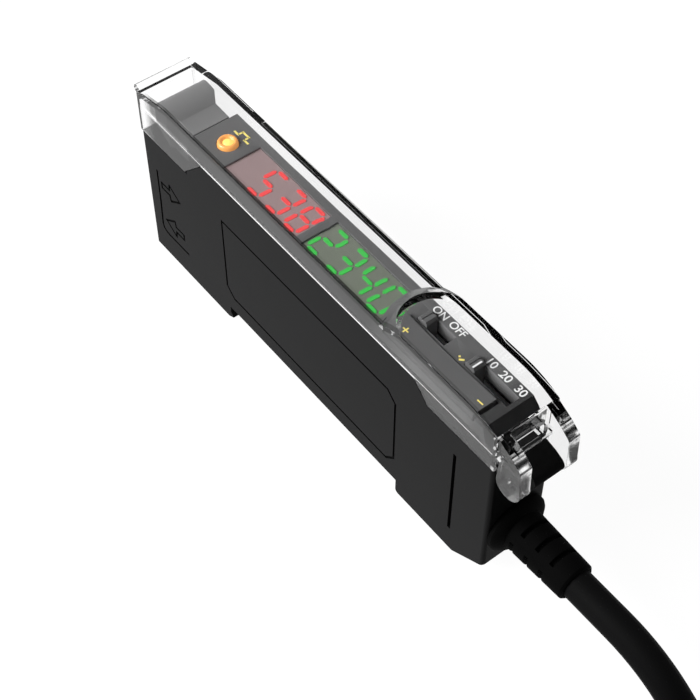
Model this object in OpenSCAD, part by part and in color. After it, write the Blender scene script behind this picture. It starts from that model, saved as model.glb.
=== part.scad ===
// Fibre optic sensor amplifier: a slim rail-mounted unit with a clear hinged dust cover.
// X runs from the fibre end to the cable end, Y across the width and Z up from the feet.

/* [Housing] */
// Width of the unit
body_w = 9.8; // [9.4:0.1:14]
// Height of the full-width side walls
shoulder_h = 28; // [27:0.25:32]
// Depth of the low deck at the fibre end, below the top of the side walls
deck_drop = 4.6; // [4:0.1:5.2]
// Thickness of the side walls, the ends and the side cover
wall = 1.4; // [1.2:0.05:1.6]
// Length of the low deck that holds the clamp lever
deck_l = 11.6; // [11:0.1:14]
// Length of the slope behind the controls
slope_l = 3; // [2.5:0.1:4]
// Drop of the slope behind the controls
slope_drop = 2.1; // [1.5:0.1:2.4]
// Length of the bevel under the cable end
bevel_l = 5.9; // [3:0.1:7]
// Height of the bevel under the cable end
bevel_h = 3.7; // [2:0.1:4]
// Radius of the upright edges
edge_r = 0.6; // [0.3:0.05:0.9]

/* [Rail slot] */
// Width of the mounting rail
rail_w = 35; // [35:0.1:36]
// Thickness of the rail's flange
rail_t = 1; // [0.8:0.1:1.2]
// Depth of the rail slot
slot_d = 2.6; // [2.4:0.1:3]
// Length of the front foot
front_foot_l = 19.4; // [17:0.1:22]
// Length of the slot from the front foot to the rear foot
slot_l = 39.3; // [38.6:0.1:41]
// Travel of the sprung rail clip
clip_travel = 1.6; // [1:0.1:2]

/* [Fibre ports] */
// Radius of each fibre bore
fibre_r = 1.15; // [1:0.05:1.3]
// Height of the lower fibre
fibre_low = 8.3; // [8:0.1:9]
// Distance between the two fibres
fibre_pitch = 7.7; // [7:0.1:8]
// Depth to which a fibre goes in
fibre_depth = 14; // [12:0.5:15]

/* [Displays] */
// Length of each display window
window_l = 16.1; // [15:0.1:18]
// Gap between the two windows
window_gap = 1.3; // [1:0.1:2]
// Distance from the panel's front end to the first window
window_lead = 7.3; // [6.6:0.1:8]
// Height of the digits
digit_h = 5.65; // [4.6:0.05:5.8]
// Radius of the output lamp
lamp_r = 1.5; // [1.2:0.05:1.6]

/* [Controls] */
// Gap before and behind the rocker button
control_gap = 1.7; // [1.4:0.1:2.2]
// Length of the rocker button
rocker_l = 16.8; // [15:0.1:18]
// Width of the rocker button
rocker_w = 3.3; // [3:0.1:3.4]
// Travel of the rocker when pressed in the middle
rocker_travel = 0.3; // [0.2:0.05:0.35]
// Step of the mode switch between its three positions
mode_step = 2.9; // [2.5:0.05:3]
// Step of the output switch between its two positions
output_step = 3.3; // [2.5:0.1:3.5]
// Width of a switch knob
knob_w = 1.8; // [1.5:0.1:2]

/* [Dust cover] */
// Thickness of the cover's skirts
cover_t = 0.65; // [0.5:0.05:0.7]
// Extra thickness of the cover's near wall above its ledge
ledge_t = 0.2; // [0.15:0.05:0.3]
// Thickness of the cover's top
cover_top_t = 1.1; // [0.8:0.1:1.2]
// Free height between the panel and the cover's top
cover_clear = 1.85; // [1.6:0.05:6]
// Rise of the dome over the controls
dome_rise = 1.2; // [0.8:0.1:1.6]
// Depth of the rear skirt below the side wall's edge
skirt_rear = 2.6; // [2.2:0.1:2.6]
// Thickness of each hinge ear
ear_t = 1.8; // [1.6:0.1:2]
// Radius of the hinge stubs
stub_r = 0.8; // [0.6:0.05:0.9]

/* [Cable] */
// Diameter of the cable
cable_d = 4.4; // [4:0.1:5]
// Height of the cable's axis at the outlet
outlet_h = 9.95; // [9.5:0.05:11]
// Length of the ribbed strain relief
relief_l = 10.1; // [9:0.1:12]
// Radius of the strain relief at its root
relief_r = 3.1; // [2.9:0.05:3.3]
// Radius of the coil at the middle of its turns
coil_r = 22; // [20:0.5:28]

/* [Hidden] */
$fn = 48;

// Clearances
slide_gap = 0.12;
pin_gap = 0.05;
free_gap = 0.3;

// Stations along the length, measured from the fibre end
window1_x = deck_l + window_lead;
window2_x = window1_x + window_l + window_gap;
rocker_x = window2_x + window_l + control_gap;
rocker_mid = rocker_x + rocker_l / 2;
slope_x = rocker_x + rocker_l + control_gap;
panel_end = slope_x + slope_l;
end_step = 0.9;
body_l = panel_end + end_step;
lamp_x = window1_x - 2 * lamp_r - 0.3;
lamp_y = -0.28;

// Widths and heights
hw = body_w / 2;
inner_w = hw - wall;
recess_w = hw - cover_t - slide_gap;
panel_w = recess_w - ledge_t;
panel_t = 1.25;
panel_h = shoulder_h + panel_t;
plug_t = 1;
deck_h = shoulder_h - deck_drop;
cover_h = panel_h + cover_clear + cover_top_t;
skirt_front = deck_drop - 0.1;
plug_low = shoulder_h - plug_t;
end_h = shoulder_h - slope_drop - 0.6;
board_t = 0.8;
board_top = shoulder_h - 5.2;
ledge_top = board_top - board_t;
face_h = panel_h - 0.3;
window_w = 2 * (inner_w - 0.4);
window_y = -0.25;
floor_h = slot_d + wall;

// Hinge of the dust cover
hinge_x = body_l + 2.25;
hinge_h = end_h - 0.7;
ear_out = hw - 0.2;
ear_in = ear_out - ear_t;
ear_r = 2.05;
lug_w = ear_in - 0.55;
lug_top = end_h + 1.95;
bridge_low = end_h + 2.6;
lip_r = 0.75;
lug_low = end_h - 6.9;
cover_end = body_l - 0.1;
side_edge = shoulder_h + slide_gap;
skirt_x = deck_l - 0.7;
rear_skirt_x = slope_x - 8.4;

// Clamp lever
lever_x = 8.2;
lever_h = deck_h - 2.2;
lever_pin_r = 0.6;
lever_hub_r = 1.6;
lever_top = cover_h - cover_top_t - 0.75;
lever_head_w = panel_w - 0.03;
lever_neck_w = inner_w - 0.5;
neck_h = shoulder_h + 0.7;

// Rail clip in the rear foot
hook_x = front_foot_l + 1;
rear_foot_x = front_foot_l + slot_l;
rear_foot_l = body_l - bevel_l - rear_foot_x;
rail_end = hook_x + rail_w + 0.1;
clip_w = inner_w - 1;
clip_low = 0.5;
clip_top = slot_d + 0.6;
clip_back = rear_foot_x + 6;
spring_l = 4.2;
spring_r = 0.8;
spring_wire_r = 0.15;
spring_turns = 6;
spring_end = clip_back + spring_l;

// Rocker, pin and switches
rocker_y = -inner_w + rocker_w / 2 + 0.1;
rocker_top = panel_h + 0.55;
rocker_pin_h = shoulder_h - 2;
rocker_pin_r = 0.5;
rocker_leg_x = rocker_l / 2 - 1.4;
rocker_sweep = 0.45;
tact_h = 1.6;
plunger_h = 0.6;
knob_y = 1.45;
knob_l = 1.8;
knob_top = panel_h + 0.7;
mode_x = rocker_x + rocker_l - 2 * mode_step + 0.2;
output_x = rocker_x + 2.2;
switch_h = 2.8;
switch_w = 3;

// Strain relief and cable
flange_x = 1.5;
relief_end = body_l + flange_x + relief_l;
relief_tip_r = relief_r - 0.3;
collar_r = hw - 0.3;
rib_pitch = 2.6;
cable_r = cable_d / 2;
coil_x = relief_end + 50.4;
coil_low = 0.9;
coil_rows = 7;
coil_layers = 2;
coil_y = -(coil_r + (coil_layers - 1) / 2 * cable_d);
tie_w = 4;
tie_t = 0.7;
lead_r = 0.5;
lead_sweep = 110;
cable_sides = 10;
straight_end = relief_end + 7.5;
bend_r = 4.2 * cable_d;
cable_low = coil_low + cable_r;
bend_a = acos(1 - (outlet_h - cable_low) / (2 * bend_r));
bend_end = straight_end + 2 * bend_r * sin(bend_a);
cable_route = concat(
    [for (x = [0, 0.5, 4]) [relief_end + x, 0, outlet_h]],
    [for (i = [0 : 4]) let (a = bend_a * i / 4)
        [straight_end + bend_r * sin(a), 0, outlet_h - bend_r * (1 - cos(a))]],
    [for (i = [3 : -1 : 0]) let (a = bend_a * i / 4)
        [bend_end - bend_r * sin(a), 0, cable_low + bend_r * (1 - cos(a))]],
    [[coil_x - 11, 0, cable_low]]);

// The unit is placed with its length centred on the origin
mid_x = relief_end / 2;

// Points along an arc, from angle a0 to a1
function arc(cx, cz, r, a0, a1, n = 8) =
    [for (i = [0 : n]) let (a = a0 + (a1 - a0) * i / n) [cx + r * cos(a), cz + r * sin(a)]];

function unit(v) = v / norm(v);

// Rings of a tube round a path, each ring square to the path
function tube_rings(path, r, sides, ref) = [for (i = [0 : len(path) - 1])
    let (a = path[max(i - 1, 0)], b = path[min(i + 1, len(path) - 1)],
        t = unit(b - a), u = unit(cross(ref, t)), v = cross(t, u))
    each [for (k = [0 : sides - 1]) path[i] + r * (cos(360 * k / sides) * u + sin(360 * k / sides) * v)]];

module tube(path, r, sides, ref) {
    n = len(path);
    skin = [for (i = [0 : n - 2]) for (k = [0 : sides - 1])
        let (a = i * sides, b = a + sides, m = (k + 1) % sides) [a + k, a + m, b + m, b + k]];
    first = [for (k = [sides - 1 : -1 : 0]) k];
    last = [for (k = [0 : sides - 1]) (n - 1) * sides + k];
    faces = concat(skin, [first], [last]);
    polyhedron(tube_rings(path, r, sides, ref), [for (f = faces) [for (k = [len(f) - 1 : -1 : 0]) f[k]]]);
}

// A side view outline carried across the width from y0 to y1
module across(y0, y1) {
    translate([0, y1, 0]) rotate([90, 0, 0]) linear_extrude(y1 - y0) children();
}

// A cross section carried along the length from x0 to x1
module along(x0, x1) {
    translate([x0, 0, 0]) rotate([90, 0, 90]) linear_extrude(x1 - x0) children();
}

module block(x0, x1, y0, y1, z0, z1) {
    translate([x0, y0, z0]) cube([x1 - x0, y1 - y0, z1 - z0]);
}

module rod_x(x0, x1, y, z, r) {
    translate([x0, y, z]) rotate([0, 90, 0]) cylinder(h = x1 - x0, r = r);
}

module rod_y(x, y0, y1, z, r) {
    translate([x, y0, z]) rotate([-90, 0, 0]) cylinder(h = y1 - y0, r = r);
}

module both_sides() {
    children();
    mirror([0, 1, 0]) children();
}

module place() {
    translate([-mid_x, 0, 0]) children();
}

// Side view of the housing: feet, rail slot with its hook, bevel, end and deck
module body_outline() {
    polygon(concat(
        [[0, 0], [front_foot_l, 0], [front_foot_l + 1.2, 0.6], [hook_x - 0.4, slot_d - rail_t - 0.2],
            [hook_x - 0.4, slot_d], [rear_foot_x, slot_d]],
        arc(rear_foot_x + 0.6, 0.6, 0.6, 180, 270),
        [[body_l - bevel_l, 0], [body_l, bevel_h], [body_l, end_h], [panel_end, end_h],
            [panel_end, shoulder_h - slope_drop], [slope_x, shoulder_h], [deck_l, shoulder_h],
            [deck_l, deck_h], [0, deck_h]]));
}

// Plan of the unit with rounded upright edges
module body_plan() {
    for (s = [-1, 1]) {
        translate([edge_r, s * (hw - edge_r)]) circle(edge_r);
        translate([body_l - edge_r, s * (hw - edge_r)]) circle(edge_r);
    }
    translate([edge_r, -hw]) square([body_l - 2 * edge_r, body_w]);
    translate([0, edge_r - hw]) square([body_l, body_w - 2 * edge_r]);
}

// Where the cover's skirts lie flush in the sides
module skirt_recess(gap) {
    front_low = shoulder_h - skirt_front - gap;
    rear_low = shoulder_h - skirt_rear - gap;
    top = shoulder_h + 1;
    polygon([[-1, front_low], [skirt_x + 0.5 * gap, front_low],
        [skirt_x + 0.5 * gap + top - front_low, top], [-1, top]]);
    polygon([[rear_skirt_x - 0.5 * gap - top + rear_low, top], [rear_skirt_x - 0.5 * gap, rear_low],
        [body_l + 1, rear_low], [body_l + 1, top]]);
}

// Shape shared by the housing and its side cover
module body_blank(y0, y1) {
    difference() {
        intersection() {
            across(y0, y1) body_outline();
            linear_extrude(shoulder_h + 1) body_plan();
        }
        for (s = [-1, 1]) {
            edge = recess_w;
            across(s > 0 ? edge : -hw - 1, s > 0 ? hw + 1 : -edge) skirt_recess(slide_gap);
        }
    }
}

// Hinge lug on the cable end, with its cross bore
module hinge_lug() {
    difference() {
        across(-lug_w, lug_w) polygon(concat(
            [[body_l - 0.5, lug_low - 0.8], [body_l - 0.5, end_h - 0.2], [panel_end + 0.05, end_h - 0.2],
                [panel_end + 0.05, lug_top], [hinge_x - 1.5, lug_top], [hinge_x + 0.5, lug_top - 0.45]],
            arc(hinge_x + 1.1, hinge_h + 0.65, 1.15, 60, -30, 12),
            [[hinge_x - 0.3, lug_low + 1.6], [body_l + 0.4, lug_low]]));
        rod_y(hinge_x, -hw, hw, hinge_h, stub_r + pin_gap);
    }
}

// Moulded tub, open on the side that the side cover closes
module housing() place() color("#1c1c1d") {
    difference() {
        union() {
            body_blank(-hw, hw - wall);
            hinge_lug();
        }
        block(wall, body_l - wall, -inner_w, hw, floor_h, deck_h - wall);
        block(deck_l + wall, slope_x, -inner_w, hw, deck_h - wall - 1, shoulder_h + 1);
        block(lever_x - 4.3, deck_l - 0.2, -inner_w + 0.4, inner_w - 0.4, deck_h - wall - 1, deck_h + 1);
        fibre_bores(-1, wall + 1);
        rod_y(lever_x, -inner_w - 0.7, 0, lever_h, lever_pin_r);
        clip_channel();
        block(body_l - wall - 1, body_l + 1, -2.6, 2.6, outlet_h - 2.6, outlet_h + 2.6);
        side_marks(-hw);
    }
    middle_hook();
    for (x = [26, 66]) for (z = [8, 18]) rod_y(x, -inner_w, -inner_w + 0.9, z, 1.2);
    block(deck_l + 0.5, slope_x + 1, -inner_w - 0.1, -inner_w + 0.6, ledge_top - 0.6, ledge_top);
}

// Longer hook between the side walls that takes the rail's front edge
module middle_hook() {
    across(-inner_w, inner_w - 0.4) polygon([[front_foot_l, 0.3], [hook_x + 1.6, 0.5], [hook_x + 1.6, 0.9],
        [front_foot_l, slot_d - rail_t - 0.2]]);
}

// Channel of the rail clip in the rear foot
module clip_channel() {
    block(rear_foot_x - 1, spring_end, -clip_w - slide_gap, clip_w + slide_gap, clip_low - slide_gap,
        clip_top + slide_gap);
}

module fibre_bores(x0, x1) {
    for (z = [fibre_low, fibre_low + fibre_pitch]) rod_x(x0, x1, 0, z, fibre_r);
}

// A straight groove from p to q in the side view
module groove_line(p, q, w) {
    a = atan2(q[1] - p[1], q[0] - p[0]);
    translate(p) rotate(a) translate([-w / 2, -w / 2]) square([norm(q - p) + w, w]);
}

// Grooves moulded in the visible side: fibre marks, label field and rear slot
module side_marks(y) {
    groove_d = 0.2;
    line = [[3, 17.3], [2.95, 11], [2.7, 5.9], [2.95, 5.2], [3.6, 4.8], [4.4, 4.7], [9.3, 4.75]];
    across(y - 1, y + groove_d) {
        for (i = [0 : len(line) - 2]) groove_line(line[i], line[i + 1], 0.27);
        fibre_arrow(3.9, fibre_low + fibre_pitch - 0.9, 1);
        fibre_arrow(8.6, fibre_low - 0.55, -1);
        label_field();
    }
    across(y - 1, y + 0.5) groove_line([slope_x - 2.9, 4.8], [slope_x - 2.9, 20.9], 0.45);
}

// Outline arrow beside each fibre port, one inwards and one outwards
module fibre_arrow(x, z, way) {
    points = [[0, -0.55], [2, -0.55], [2.2, -1.6], [4.6, 0], [2.2, 1.6], [2, 0.55], [0, 0.55]];
    for (i = [0 : len(points) - 1]) let (a = points[i], b = points[(i + 1) % len(points)])
        groove_line([x + way * a[0], z + a[1]], [x + way * b[0], z + b[1]], 0.24);
}

// Thin outline of the plain label field
module label_field() {
    x0 = front_foot_l + 0.3;
    x1 = rear_foot_x - 0.6;
    z0 = floor_h + 1.6;
    z1 = shoulder_h - 7.2;
    r = 1.6;
    groove_line([x0, z0 + r], [x0, z1], 0.2);
    groove_line([x0, z1], [x1 - r, z1], 0.2);
    groove_line([x1 - r, z1], [x1, z1 - r], 0.2);
    groove_line([x1, z1 - r], [x1, z0 + r], 0.2);
    groove_line([x1, z0 + r], [x1 - r, z0], 0.2);
    groove_line([x1 - r, z0], [x0 + r, z0], 0.2);
    groove_line([x0 + r, z0], [x0, z0 + r], 0.2);
}

// Flat lid that closes the far side of the tub
module side_cover() place() color("#1e1e1f") {
    difference() {
        body_blank(inner_w, hw);
        rod_y(lever_x, 0, inner_w + 0.7, lever_h, lever_pin_r);
    }
    block(deck_l + wall + 0.2, slope_x - 0.2, inner_w - 0.6, inner_w, ledge_top - 0.6, ledge_top);
}

// Side view of the panel's flange, with the slope at its rear
module panel_outline() {
    polygon([[deck_l, shoulder_h], [slope_x, shoulder_h], [panel_end, shoulder_h - slope_drop],
        [panel_end, shoulder_h - slope_drop + 0.7], [slope_x + 0.2, panel_h], [deck_l, panel_h]]);
}

// Control panel that closes the top of the housing
module top_panel() place() color("#2a2a2c") {
    difference() {
        union() {
            intersection() {
                across(-panel_w, recess_w) panel_outline();
                along(0, body_l) polygon([[-panel_w, 0], [recess_w, 0], [recess_w, panel_h],
                    [0.53 - panel_w, panel_h], [-panel_w, panel_h - 1]]);
            }
            block(deck_l + wall + 0.1, slope_x - 0.1, 0.1 - inner_w, inner_w - 0.1, plug_low, shoulder_h);
        }
        for (x = [window1_x, window2_x]) {
            block(x, x + window_l, window_y - window_w / 2, window_y + window_w / 2, plug_low - 1,
                panel_h + 1);
            block(x, x + window_l, -inner_w, 0, plug_low - 1, shoulder_h);
        }
        translate([lamp_x, lamp_y, 0]) cylinder(h = panel_h + 2, r = lamp_r + 0.1);
        rocker_opening();
        knob_slot(mode_x, 2 * mode_step);
        knob_slot(output_x, output_step);
    }
}

module rocker_opening() {
    block(rocker_x - free_gap, rocker_x + rocker_l + free_gap, rocker_y - rocker_w / 2 - slide_gap,
        rocker_y + rocker_w / 2 + slide_gap, plug_low - 1, panel_h + 1);
}

module knob_slot(x, travel) {
    block(x - knob_l / 2 - slide_gap, x + travel + knob_l / 2 + slide_gap, knob_y - knob_w / 2 - slide_gap,
        knob_y + knob_w / 2 + slide_gap, plug_low - 1, panel_h + 1);
}

// Tinted window plate, seated on its display
module window_plate(x) {
    w = window_w / 2 - 0.05;
    block(x + 0.05, x + window_l - 0.05, window_y - w, window_y + w, face_h + 0.15, panel_h);
}

module red_window() place() color("#5a1418") window_plate(window1_x);

module green_window() place() color("#1f2420") window_plate(window2_x);

// Display module on the display board, with a raised face in the window opening
module display_body(x) {
    w = inner_w - 0.1;
    f = window_w / 2 - 0.05;
    block(x - 0.1, x + window_l + 0.1, -w, w, board_top, plug_low);
    block(x + 0.05, x + window_l - 0.05, window_y - f, window_y + f, plug_low - 0.1, face_h);
}

module red_display() place() color("#202022") display_body(window1_x);

module green_display() place() color("#202022") display_body(window2_x);

// One bar of a digit, with pointed ends
module bar(l, t) {
    polygon([[-l / 2 + t / 2, -t / 2], [l / 2 - t / 2, -t / 2], [l / 2, 0], [l / 2 - t / 2, t / 2],
        [-l / 2 + t / 2, t / 2], [-l / 2, 0]]);
}

// Seven bars of one digit, upright in the plan with its top towards +Y
module digit_bars() {
    t = 0.115 * digit_h;
    w = 0.4425 * digit_h;
    half = digit_h / 2 - t / 2;
    multmatrix([[1, 0.045, 0, 0], [0, 1, 0, 0], [0, 0, 1, 0]]) {
        for (y = [-half, 0, half]) translate([0, y]) bar(w - 0.4, t);
        for (x = [-w / 2, w / 2]) for (y = [-half / 2, half / 2])
            translate([x, y]) rotate(90) bar(half - 0.25, t);
    }
}

// Four digits of one display, as clear bars set in its face
module digit_row(x) {
    pitch = (window_l + 0.3) / 4;
    for (i = [0 : 3]) translate([x + pitch * (i + 0.5) - 0.17, window_y - 0.05, face_h])
        linear_extrude(0.1) digit_bars();
}

module red_segments() place() color("#ff5a5a") digit_row(window1_x);

module green_segments() place() color("#58d878") digit_row(window2_x);

// Domed indicator lamp that stands on the display board
module output_lamp() place() color("#ff9a2e") translate([lamp_x, lamp_y, 0]) rotate_extrude()
    polygon(concat([[0, board_top], [lamp_r + 0.3, board_top], [lamp_r + 0.3, board_top + 0.8],
        [lamp_r, board_top + 0.8]], arc(0, panel_h - 0.1, lamp_r, 0, 40, 4),
        [[lamp_r * 0.55, panel_h + 0.55], [lamp_r * 0.5, panel_h + 0.35], [0, panel_h + 0.35]]));

// Rocker with a dished top, two legs and a web that carries its pin
module rocker_button() place() color("#262628") difference() {
    union() {
        across(rocker_y - rocker_w / 2, rocker_y + rocker_w / 2) difference() {
            translate([rocker_x, shoulder_h - 0.4]) square([rocker_l, rocker_top - shoulder_h + 0.4]);
            translate([rocker_mid, rocker_top - 0.35 + 100]) circle(100, $fn = 200);
        }
        across(rocker_y - 0.8, rocker_y + 0.8) for (s = [-1, 1])
            translate([rocker_mid + s * rocker_leg_x - 0.6, shoulder_h - 2.2]) square([1.2, 2]);
        across(rocker_y - 0.75, rocker_y + 0.75) translate([rocker_mid - 1.4, rocker_pin_h - 0.65])
            square([2.8, shoulder_h - rocker_pin_h + 0.35]);
    }
    rod_y(rocker_mid, rocker_y - 2, rocker_y + 2, rocker_pin_h, rocker_pin_r + pin_gap);
}

// Cross pin that the rocker tilts on
module rocker_pin() place() color("silver")
    rod_y(rocker_mid, rocker_y - 1.6, rocker_y + 1.6, rocker_pin_h, rocker_pin_r);

// Two posts on the display board, slotted for the ends of the rocker's pin
module rocker_bracket() place() color("#1b1b1c") {
    r = rocker_pin_r + pin_gap;
    low = rocker_pin_h - rocker_travel - pin_gap;
    for (s = [-1, 1]) across(rocker_y + s * 1.35 - 0.3, rocker_y + s * 1.35 + 0.3) difference() {
        translate([rocker_mid - 1.3, board_top]) square([2.6, rocker_pin_h + 1 - board_top]);
        translate([rocker_mid, low]) circle(r);
        translate([rocker_mid, rocker_pin_h + pin_gap]) circle(r);
        translate([rocker_mid - r, low]) square([2 * r, rocker_travel + 2 * pin_gap]);
    }
}

// Three tactile switches under the rocker
module tact_switches() place() color("#55585c") for (x = [-rocker_leg_x, 0, rocker_leg_x])
    translate([rocker_mid + x, rocker_y, board_top]) {
        translate([-1.5, -1, 0]) cube([3, 2, tact_h]);
        cylinder(h = tact_h + plunger_h, r = 0.6);
    }

// Switch knob: a stem in the switch and a ridged head above the panel
module knob(x) {
    half = knob_l / 2;
    across(knob_y - knob_w / 2, knob_y + knob_w / 2) translate([x, 0]) polygon([[-half, board_top + 2],
        [half, board_top + 2], [half, panel_h + 0.3], [half - 0.3, knob_top], [0.15, knob_top],
        [0.15, knob_top - 0.12], [-0.15, knob_top - 0.12], [-0.15, knob_top], [0.3 - half, knob_top],
        [-half, panel_h + 0.3]]);
}

module mode_knob() place() color("#303033") knob(mode_x);

module output_knob() place() color("#303033") knob(output_x);

// Slide switch body with the groove that its knob runs in
module slide_switch(x, travel) {
    half = knob_l / 2;
    groove = knob_w / 2 + slide_gap;
    difference() {
        translate([x - half - 0.4, knob_y - switch_w / 2, board_top])
            cube([travel + knob_l + 0.8, switch_w, switch_h]);
        translate([x - half - slide_gap, knob_y - groove, board_top + 1.8])
            cube([travel + knob_l + 2 * slide_gap, 2 * groove, switch_h]);
    }
}

module mode_switch() place() color("#8a8d90") slide_switch(mode_x, 2 * mode_step);

module output_switch() place() color("#8a8d90") slide_switch(output_x, output_step);

// Circuit board that carries the displays, the lamp and the switches
module display_board() place() color("#1f5a3a")
    block(deck_l + wall + 0.3, slope_x - 0.2, 0.1 - inner_w, inner_w - 0.1, board_top - board_t, board_top);

// Upright circuit board on the bosses of the housing
module main_board() place() color("#1f5a3a")
    block(22, slope_x - 4, 0.9 - inner_w, 1.9 - inner_w, floor_h + 1, ledge_top - 1.3);

// Parts soldered to the upright board
module board_parts() place() color("#303236") {
    y = 1.9 - inner_w;
    chips = [[30, 8, 7, 1], [42, 8, 5, 1.2], [52, 9, 4, 1.6], [60, 7, 3, 2.4], [31, 16, 3, 1],
        [54, 15.5, 2, 1]];
    for (p = chips)
        block(p[0], p[0] + p[2], y, y + p[3], p[1], p[1] + p[2] * 0.8);
}

// Header that joins the two boards
module pin_header() place() color("#141414")
    block(40, 50, 1.9 - inner_w, 4.4 - inner_w, ledge_top - 4, ledge_top);

// Block that guides both fibres to the emitter and the receiver
module fibre_holder() place() color("#3a3b3d") difference() {
    across(0.1 - inner_w, inner_w - 0.1) polygon([[wall, floor_h], [fibre_depth + 4, floor_h],
        [fibre_depth + 4, fibre_low + fibre_pitch + 3], [fibre_depth - 2, fibre_low + fibre_pitch + 3],
        [lever_x + 3.4, lever_h - lever_hub_r - free_gap], [wall, lever_h - lever_hub_r - free_gap]]);
    for (z = [fibre_low, fibre_low + fibre_pitch]) {
        rod_x(0, fibre_depth, 0, z, fibre_r);
        rod_x(fibre_depth, fibre_depth + 5, 0, z, 1.75);
    }
}

// Round optical element with a flange, seated in the holder
module optic(z, dome) {
    rod_x(fibre_depth + dome, fibre_depth + 3.2, 0, z, 1.7);
    rod_x(fibre_depth + 3.2, fibre_depth + 4.6, 0, z, 1.5);
}

module emitter_led() place() color("#c23b35") optic(fibre_low + fibre_pitch, 0);

module receiver_diode() place() color("#2b2f3a") optic(fibre_low, 0.3);

// Side view of the clamp lever: hub, stem, neck and crowned head
module lever_outline() {
    polygon(concat(arc(lever_x, lever_h, lever_hub_r, 180, 360, 24),
        [[lever_x + 2.2, lever_h + 3.8], [deck_l - 0.3, neck_h - 0.5], [deck_l - 0.35, neck_h + 0.35],
            [lever_x - 0.1, neck_h + 0.5], [lever_x - 1.7, lever_top - 0.15]],
        arc(lever_x - 3.4, lever_top - 1.5, 1.5, 85, 180),
        [[lever_x - 4.9, lever_h + 6.2], [lever_x - 4.7, lever_h + 5], [lever_x - 1.8, lever_h + 3.2]]));
}

// Plan of the clamp lever: wide head that narrows to a neck
module lever_plan() {
    w = lever_head_w;
    n = lever_neck_w;
    translate([lever_x, 0]) polygon([[-5.3, 0.9 - w], [-4.7, -w], [-1.7, -w], [-0.2, -n], [4, -n], [4, n],
        [-0.2, n], [-1.7, w], [-4.7, w], [-5.3, w - 0.9]]);
}

// Lever that clamps the fibres
module clamp_lever() place() color("#232325") difference() {
    intersection() {
        across(-hw, hw) lever_outline();
        union() {
            translate([0, 0, deck_h + 0.9]) linear_extrude(20) lever_plan();
            block(0, deck_l + 1, -lever_neck_w, lever_neck_w, 0, deck_h + 1);
        }
    }
    rod_y(lever_x, -hw, hw, lever_h, lever_pin_r + pin_gap);
}

// Pin that the clamp lever turns on
module clamp_pin() place() color("silver")
    rod_y(lever_x, -inner_w - 0.7, inner_w + 0.7, lever_h, lever_pin_r);

// Side view of the cover without its dome, inset by t from the outside
module cover_outline(t, top_t, low) {
    front_low = shoulder_h - skirt_front;
    rear_low = shoulder_h - skirt_rear;
    top = cover_h - top_t;
    polygon([[t, front_low - low], [skirt_x, front_low - low],
        [skirt_x + side_edge - front_low, side_edge - low],
        [rear_skirt_x - side_edge + rear_low, side_edge - low], [rear_skirt_x, rear_low - low],
        [cover_end - t, rear_low - low],
        [cover_end - t, top - 0.5], [slope_x - 2, top], [7, top], [t + 0.3, top - 1.3], [t, top - 1.8]]);
}

// Dome over the controls: a round sloping front and an arched rear
module dome(t, top_t) {
    cx = rocker_x + 5.5;
    r = hw + 1.85 - t;
    top = cover_h + dome_rise - top_t;
    rear_r = 14;
    intersection() {
        union() {
            translate([cx, 0, cover_h - top_t - 0.01]) cylinder(h = dome_rise + 0.01, r1 = r, r2 = r - 1.75);
            block(cx, cover_end - t, -hw + t, hw - t, cover_h - top_t - 2, top);
        }
        across(-hw + t, hw - t) polygon(concat([[rocker_x - 5, cover_h - top_t - 2], [rocker_x - 5, top]],
            arc(slope_x - 2.5, top - rear_r, rear_r, 90, 62, 10), [[cover_end - t, cover_h - top_t - 2]]));
    }
}

module cover_solid(t, top_t, low) {
    across(-hw + t, hw - t) cover_outline(t, top_t, low);
    dome(t, top_t);
}

// Side view of a hinge ear: round about the hinge, with an arm from the rear top edge
module ear_outline() {
    x = hinge_x;
    z = hinge_h;
    polygon(concat([[cover_end - cover_t, z + 3.7], [x - 1.75, z + 3.25], [x - 2, z + 1.3]],
        arc(x, z, ear_r, 165, 375, 28),
        arc(x + ear_r - 1.02, z + 4.35, 0.8, 0, 55, 6),
        [[x + 0.15, z + 6.05], [cover_end, z + 7.4], [cover_end - cover_t, z + 7.4]]));
}

// Clear moulded cover that swings up on the lug at the cable end
module dust_cover() place() color([0.85, 0.88, 0.9, 0.4]) {
    difference() {
        union() {
            cover_solid(0, 0, 0);
            rod_y(0.5 - lip_r, 0.3 - hw, hw - 0.3, cover_h - 1.55, lip_r);
        }
        intersection() {
            cover_solid(cover_t, cover_top_t, 1);
            block(0, body_l, cover_t + ledge_t - hw, hw, 0, 2 * cover_h);
        }
        block(cover_t, cover_end - cover_t, cover_t - hw, hw - cover_t, 0, side_edge);
        block(cover_end - cover_t - 1, cover_end + 1, -ear_in, ear_in, 0, bridge_low + 0.7);
    }
    both_sides() {
        across(ear_in, ear_out) ear_outline();
        rod_y(hinge_x, lug_w - 1, ear_in + 0.2, hinge_h, stub_r);
    }
    difference() {
        block(cover_end - cover_t, hinge_x - 0.95, -ear_in, ear_in, bridge_low, bridge_low + 0.7);
        block(cover_end - 0.4, cover_end + 0.8, -1.5, 1.5, 0, bridge_low + 2);
    }
}

// Sprung clip that catches the rail's rear edge
module din_clip() place() color("#242426") across(-clip_w, clip_w) polygon([
    [rail_end - 1.4, clip_low], [clip_back, clip_low], [clip_back, clip_top], [rear_foot_x + 0.3, clip_top],
    [rear_foot_x + 0.3, slot_d - 0.2], [rail_end, slot_d - 0.2], [rail_end, slot_d - rail_t - 0.2],
    [rail_end - 1.4, clip_low + 0.5]]);

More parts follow.
